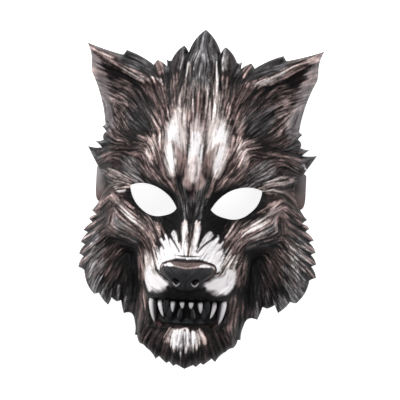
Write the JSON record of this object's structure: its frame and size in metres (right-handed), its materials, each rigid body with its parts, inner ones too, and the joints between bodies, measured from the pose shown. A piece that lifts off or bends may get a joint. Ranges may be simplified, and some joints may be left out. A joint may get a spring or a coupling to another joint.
{
  "type": "werewolf mask",
  "caption": "Full face werewolf mask: moulded hollow shell with ears, muzzle, bared teeth and fur locks, open eyes, strap tabs and an elastic strap.",
  "frame": {"origin": "middle of the bounding box on the surface that the mask lies on", "axes": "+X to the viewer's right, +Y to the crown, +Z out of the face"},
  "size_m": [0.215, 0.3008, 0.0933],
  "materials": {
    "printed_foam": "moulded foam with a satin printed skin",
    "plain_foam": "moulded foam, unprinted",
    "woven_elastic": "woven"
  },
  "bodies": {
    "root": {"face_shell": "printed_foam", "strap_tab_left": "plain_foam", "strap_tab_right": "plain_foam", "elastic_strap": "woven_elastic"}
  },
  "joints": []
}
